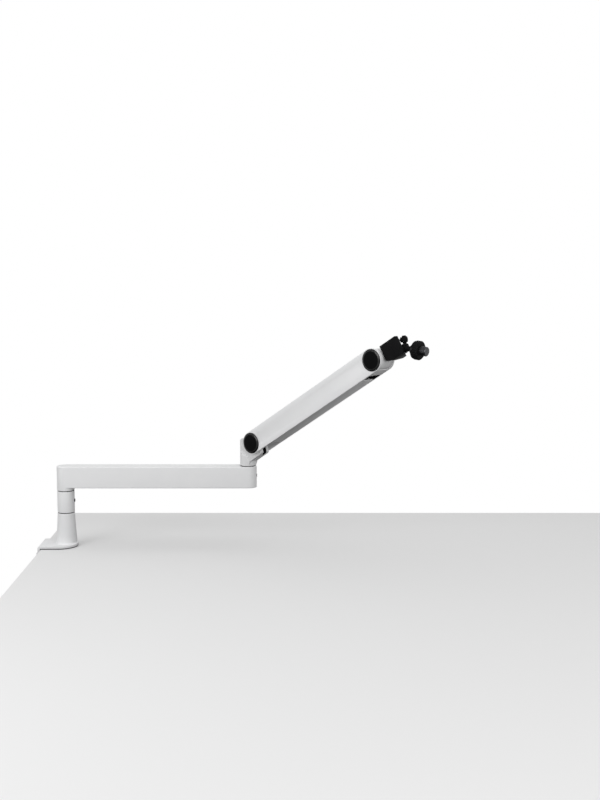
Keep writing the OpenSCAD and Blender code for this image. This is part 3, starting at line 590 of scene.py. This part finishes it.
# %% Pivot caps
cap_r, cap_low, cap_top, cap_steps = 19, 19, 21, 96
peg_inner, peg_outer, peg_len, bevel_inner = 8.1, 9.9, 1, 15.2
cap_outline = [
    (0, cap_low), (peg_inner, cap_low), (peg_inner, cap_low - peg_len), (peg_outer, cap_low - peg_len),
    (peg_outer, cap_low), (cap_r - 0.45, cap_low), (cap_r - 0.45, cap_low + 0.2), (cap_r, cap_low + 0.35),
    (cap_r, cap_low + 0.7), (cap_r - 0.3, cap_low + 0.95), (cap_r - 0.8, cap_low + 1.1),
    (16.1, cap_top - 0.14), (15.7, cap_top - 0.03), (15.3, cap_top), (0, cap_top),
]
for end, frame_of_end in (("elbow_cap", lift_frame), ("tip_cap", tip_frame)):
    for side, sign in (("near", 1), ("far", -1)):
        solid = f"{end}_{side}"
        shape = bmesh.new()
        spun(shape, cap_outline, cap_steps)
        edge_layer = shape.loops.layers.float.new("edge")
        middles = [(face, face.calc_center_median() / MM) for face in shape.faces]
        mark_edge(edge_layer, [face for face, middle in middles
                               if middle.z > cap_low + 1 and math.hypot(middle.x, middle.y) > bevel_inner])
        cap = add_piece(solid + "_disc", shape, "cap_plastic", body_of[solid],
                        frame_of_end @ turn(90 * sign, "X"), [solid])

# %% [markdown]
# ## Threads
# A thread is one ridge that climbs by its pitch with each turn. A bump could show it, but the screw's
# outline would stay straight. So a zigzag outline is spun once round the axis while it rises by one pitch.
# Its end then meets its own start one tooth further up, and the seam can be merged. Two cuts give the screw
# its flat ends, and a chamfer lets it start in its nut.

# %% A threaded rod
tooth = ((0, 0), (0, 0.2), (1, 0.55), (1, 0.65))
thread_seam = 0.01 * MM


def threaded(radius, depth, pitch, low, high, steps, chamfer):
    """A bmesh of a threaded rod between two heights in millimetres, closed at both ends."""
    shape = bmesh.new()
    outline = []
    z = low - 2 * pitch
    while z < high + 2 * pitch:
        outline += [(radius - depth * inwards, z + pitch * along) for inwards, along in tooth]
        z += pitch
    verts = [shape.verts.new((r * MM, 0, h * MM)) for r, h in outline]
    edges = [shape.edges.new(pair) for pair in zip(verts, verts[1:])]
    bmesh.ops.spin(shape, geom=verts + edges, cent=(0, 0, 0), axis=(0, 0, 1), dvec=(0, 0, pitch * MM / steps),
                   angle=2 * math.pi, steps=steps, use_merge=False, use_duplicate=False)
    bmesh.ops.remove_doubles(shape, verts=shape.verts, dist=thread_seam)
    for height, side in ((low, -1), (high, 1)):
        geometry = shape.verts[:] + shape.edges[:] + shape.faces[:]
        bmesh.ops.bisect_plane(shape, geom=geometry, plane_co=(0, 0, height * MM), plane_no=(0, 0, side),
                               clear_outer=True, dist=on_plane)
        rim = [e for e in shape.edges if e.is_boundary
               and all(abs(v.co.z - height * MM) < weld for v in e.verts)]
        bmesh.ops.contextual_create(shape, geom=rim)
    for vert in shape.verts:
        near_end = min(high - vert.co.z / MM, vert.co.z / MM - low)
        limit = (radius - chamfer + near_end) * MM
        across = Vector((vert.co.x, vert.co.y, 0))
        if near_end < chamfer and across.length > limit:
            vert.co.x *= limit / across.length
            vert.co.y *= limit / across.length
    return shape


print("a tooth has", len(tooth), "points")

# %% [markdown]
# ## The clamp screw
# The screw that closes the clamp is 12 mm thick with a pitch of 2 mm. It ends in a thinner neck and a disc,
# which turns inside the pressure plate. They could be points of the same outline, but plain cylinders that
# overlap the rod are simpler, and nobody can see where they meet.

# %% Clamp screw, with radii and heights in millimetres
cylinder_sides, overlap = 40, 0.5


def add_cylinder(shape, radius, low, high):
    """A closed cylinder between two heights in millimetres, added to a bmesh."""
    bmesh.ops.create_cone(shape, cap_ends=True, segments=cylinder_sides, radius1=radius * MM,
                          radius2=radius * MM, depth=(high - low) * MM, matrix=shift(0, 0, (low + high) / 2))


screw_r, screw_low, screw_high, screw_neck_r, neck_end = 6.0, -75.6, -8.6, 5.0, -3.4
disc_low, disc_high = -4.4, -2.4
shape = threaded(screw_r, depth=0.9, pitch=2.0, low=screw_low, high=screw_high, steps=40, chamfer=0.8)
add_cylinder(shape, screw_neck_r, screw_high - overlap, neck_end)
add_cylinder(shape, screw_r, disc_low, disc_high)
add_piece("clamp_screw_thread", shape, "steel", "clamp_screw", press_frame, ["clamp_spindle"])

# %% [markdown]
# ## The stud
# The stud at the end of the head has the usual thread for this kind of arm, 27 turns to the inch on a
# diameter of 5/8 inch. It could end at the flange, but a plain root goes on inside it, so no gap shows under
# the first turn.

# %% Threaded stud
inch, stud_r = 25.4, 7.94
neck_len, hub_top, stud_len, root_len, root_r = 13.3, 17.4, 11, 6, 4.44
stud_low = neck_len + hub_top
shape = threaded(stud_r, depth=0.5, pitch=inch / 27, low=stud_low, high=stud_low + stud_len, steps=48,
                 chamfer=0.9)
add_cylinder(shape, root_r, stud_low - root_len, stud_low + overlap)
stud = add_piece("stud_thread", shape, "dark_steel", "collar", ball_frame, ["thread_stud"])

# %% [markdown]
# ## The lock screw
# A small screw runs from the thumb knob into the housing. Only a short stretch shows between the two, and a
# plain rod could stand for it from afar. The same function threads it in one line, so it holds up from close
# by.

# %% Lock screw, up to the end of the knob's hub
lock_r, lock_gap, lock_hub, lock_depth = 2.5, 5, 3.1, 8
shape = threaded(lock_r, depth=0.4, pitch=0.8, low=-lock_depth, high=lock_gap + lock_hub, steps=24,
                 chamfer=0.4)
add_piece("lock_screw_thread", shape, "steel", "lock", lock_frame, ["lock_screw"])

# %% [markdown]
# ## The knurled thumb knob
# A small knob needs a knurl, or the fingers slip. A bump could show the pattern, but the rim would look
# smooth from the side. So the knob is a turned body with many columns round its rim, and a crossed wave
# presses a pattern of diamonds into the rim's vertices.

# %% Thumb knob
knurl_r, knurl_rows, knurl_step, knurl_steps = 6.8, 20, 0.28, 120
knurl_waves, knurl_climb, knurl_depth, groove_slope = 15, 1.9, 0.38, 2.2
outline = [(0, -lock_hub), (3.9, -lock_hub), (4.5, 0.5 - lock_hub), (4.5, 0), (5.9, 0), (6.5, 0.35)]
outline += [(knurl_r, 0.7 + knurl_step * row) for row in range(knurl_rows)]
outline += [(6.4, 6.45), (5.3, 6.8), (5.0, 7.6), (4.3, 8.7), (2.4, 9.3), (0, 9.5)]
shape = bmesh.new()
spun(shape, outline, knurl_steps)
for vert in shape.verts:
    across = Vector((vert.co.x, vert.co.y))
    if across.length > 0.99 * knurl_r * MM:
        around = knurl_waves * math.atan2(across.y, across.x)
        climb = knurl_climb * (vert.co.z / MM)
        wave = min(abs(math.sin(around + climb)), abs(math.sin(around - climb)))
        depth = knurl_depth * max(0.0, 1 - groove_slope * wave)
        vert.co.x *= 1 - depth / knurl_r
        vert.co.y *= 1 - depth / knurl_r
bmesh.ops.transform(shape, matrix=shift(0, 0, lock_gap), verts=shape.verts)
add_piece("knurled_knob", shape, "black_metal", "lock", lock_frame, ["lock_knob"], smooth=50)

# %% [markdown]
# ## The balance spring
# Inside the upper arm a tension spring balances the load. A curve with a round bevel could draw it. Here a
# ring of points, the wire's section, is spun forty times round the spring's axis while it climbs, which gives
# even rows of faces at once.

# %% Coil spring
spring_from, spring_to, spring_up = 58.3, 254.7, 8
wire, wire_sides, coil_radius, turns, steps = 1.0, 10, 7.0, 40, 20
shape = bmesh.new()
bmesh.ops.create_circle(shape, cap_ends=False, radius=wire * MM, segments=wire_sides,
                        matrix=shift(coil_radius, 0, wire) @ turn(90, "X"))
start = list(shape.verts) + list(shape.edges)
climb = (spring_to - spring_from - 2 * wire) / (turns * steps) * MM
bmesh.ops.spin(shape, geom=start, cent=(0, 0, 0), axis=(0, 0, 1), dvec=(0, 0, climb),
               angle=2 * math.pi * turns, steps=turns * steps, use_merge=False, use_duplicate=False)
bmesh.ops.holes_fill(shape, edges=[e for e in shape.edges if e.is_boundary], sides=0)
spring_frame = lift_frame @ shift(spring_from, 0, spring_up) @ turn(90, "Y")
coil = add_piece("spring_coil", shape, "steel", None, spring_frame, ["balance_spring"], smooth=60)
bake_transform(coil)

# %% [markdown]
# ## The bench
# The arm stands on the edge of a plain bench top, which its clamp grips. With one pale grey the bench would
# throw light up and brighten every underside. So the camera sees a pale grey, and all other rays meet a dark
# one. The bench is a stage, not a part of the object.

# %% Bench top
bench_low, bench_high = Vector((-0.043, -2.9, -0.030)), Vector((2.6, 0.293, 0.0))
bench = bmesh.new()
bmesh.ops.create_cube(bench, size=1.0)
bmesh.ops.scale(bench, vec=bench_high - bench_low, verts=bench.verts)
bmesh.ops.translate(bench, vec=(bench_low + bench_high) / 2, verts=bench.verts)
bench_mesh = bpy.data.meshes.new("bench_top")
bench.to_mesh(bench_mesh)
bench.free()
bench_top = bpy.data.objects.new("bench_top", bench_mesh)
bpy.context.scene.collection.objects.link(bench_top)
print("bench top:", tuple(round(v, 3) for v in bench_high - bench_low), "metres")

# %% Two greys for the bench
seen_grey, thrown_grey = 0.80, 0.10
pale = bpy.data.materials.new("pale_bench")
pale.use_nodes = True
tree = pale.node_tree
tree.nodes.remove(tree.nodes["Principled BSDF"])
choose = tree.nodes.new("ShaderNodeMixShader")
for socket, grey in ((1, thrown_grey), (2, seen_grey)):
    diffuse = tree.nodes.new("ShaderNodeBsdfDiffuse")
    diffuse.inputs["Color"].default_value = (grey, grey, grey, 1)
    tree.links.new(diffuse.outputs[0], choose.inputs[socket])
path = tree.nodes.new("ShaderNodeLightPath")
tree.links.new(path.outputs["Is Camera Ray"], choose.inputs[0])
tree.links.new(choose.outputs[0], tree.nodes["Material Output"].inputs["Surface"])
bench_mesh.materials.append(pale)
print("the bench is seen at", seen_grey, "and throws back", thrown_grey)

# %% [markdown]
# ## The lamps
# Two large soft lamps in front give the round post its slow shade, and one from above lights the tops. Two
# narrow strips stand where the bevels of the near caps mirror them, and draw a thin light on each black rim.
# Their places could be found by trial, but they follow from the law of reflection, so they are worked out
# from the camera's place.

# %% Large soft lamps
left_power, right_power, top_power = 10.0, 31.0, 5.0
left_place, right_place, top_place = (-1.3, -2.8, 1.2), (1.6, -2.8, 1.0), (0.3, -0.2, 2.6)
arm_middle, front_size, top_size = (0.3, 0.0, 0.2), (1.8, 1.8), (2.4, 2.0)


def soft_lamp(name, place, target, size, power):
    """A rectangular area lamp that faces a point."""
    data = bpy.data.lights.new(name, "AREA")
    data.shape = "RECTANGLE"
    data.size, data.size_y = size
    data.energy = power
    lamp = bpy.data.objects.new(name, data)
    lamp.location = place
    lamp.rotation_euler = (Vector(target) - Vector(place)).to_track_quat("-Z", "Y").to_euler()
    bpy.context.scene.collection.objects.link(lamp)
    return lamp


soft_lamp("front_left_lamp", left_place, arm_middle, front_size, left_power)
soft_lamp("front_right_lamp", right_place, arm_middle, front_size, right_power)
soft_lamp("top_lamp", top_place, arm_middle, top_size, top_power)
print("large lamps:", left_power, right_power, top_power, "watts")

# %% Strip lamps for the caps
strip_power, strip_distance, strip_width = 2.5, 1.7, 0.1
strip_from_to, bevel_slope = (20, 60), math.radians(20)


def strip_lamp(name, cap_place, power):
    """A narrow lamp where the upper right of a cap's bevel mirrors it to the camera."""
    centre = cap_place.translation
    outwards = (cap_place.to_3x3() @ Vector((0, -1, 0))).normalized()
    up = Vector((0, 0, 1))
    across = up.cross(outwards)
    view = (camera.location - centre).normalized()
    ends = []
    for place_on_rim in strip_from_to:
        angle = math.radians(place_on_rim)
        rim = across * math.cos(angle) + up * math.sin(angle)
        normal = outwards * math.cos(bevel_slope) + rim * math.sin(bevel_slope)
        ends.append(centre + (2 * normal.dot(view) * normal - view) * strip_distance)
    along = ends[1] - ends[0]
    lamp = soft_lamp(name, (ends[0] + ends[1]) / 2, centre, (along.length, strip_width), power)
    back = (lamp.location - centre).normalized()
    side = (along - along.dot(back) * back).normalized()
    lamp.rotation_euler = Matrix((side, back.cross(side), back)).transposed().to_euler()
    print(name, "at", tuple(round(v, 2) for v in lamp.location), "length", round(along.length, 2))


strip_lamp("elbow_strip_lamp", lift_frame, strip_power)
strip_lamp("tip_strip_lamp", tip_frame, strip_power)

# %% [markdown]
# ## The world
# A studio picture has a white background and soft light from all sides. One white world could give both, but
# it would wash the shapes out. So its light is weaker and falls off from above to below, while the camera
# and mirrored rays see it as plain white. Light Path's outputs choose between the two.

# %% World light and white background
sky_low, sky_high, horizon_band = 0.20, 0.66, 0.25
white = (1, 1, 1, 1)
world = bpy.data.worlds.new("studio")
bpy.context.scene.world = world
world.use_nodes = True
tree = world.node_tree
tree.nodes.clear()
ray = tree.nodes.new("ShaderNodeTexCoord")
split = tree.nodes.new("ShaderNodeSeparateXYZ")
tree.links.new(ray.outputs["Generated"], split.inputs[0])
height = tree.nodes.new("ShaderNodeMapRange")
height.inputs["From Min"].default_value = -horizon_band
height.inputs["From Max"].default_value = horizon_band
height.inputs["To Min"].default_value = sky_low
height.inputs["To Max"].default_value = sky_high
tree.links.new(split.outputs["Z"], height.inputs["Value"])
fill = tree.nodes.new("ShaderNodeBackground")
fill.inputs["Color"].default_value = white
tree.links.new(height.outputs["Result"], fill.inputs["Strength"])
backdrop = tree.nodes.new("ShaderNodeBackground")
backdrop.inputs["Color"].default_value = white
backdrop.inputs["Strength"].default_value = 1.0
path = tree.nodes.new("ShaderNodeLightPath")
seen_ray = math_node(tree, "MAXIMUM", path.outputs["Is Camera Ray"], path.outputs["Is Glossy Ray"])
seen_ray = math_node(tree, "MAXIMUM", seen_ray, path.outputs["Is Transmission Ray"])
choose = tree.nodes.new("ShaderNodeMixShader")
tree.links.new(seen_ray, choose.inputs[0])
tree.links.new(fill.outputs[0], choose.inputs[1])
tree.links.new(backdrop.outputs[0], choose.inputs[2])
world_output = tree.nodes.new("ShaderNodeOutputWorld")
tree.links.new(choose.outputs[0], world_output.inputs["Surface"])
bpy.context.scene.view_settings.view_transform = "Standard"
print("world light from", sky_low, "below to", sky_high, "above")
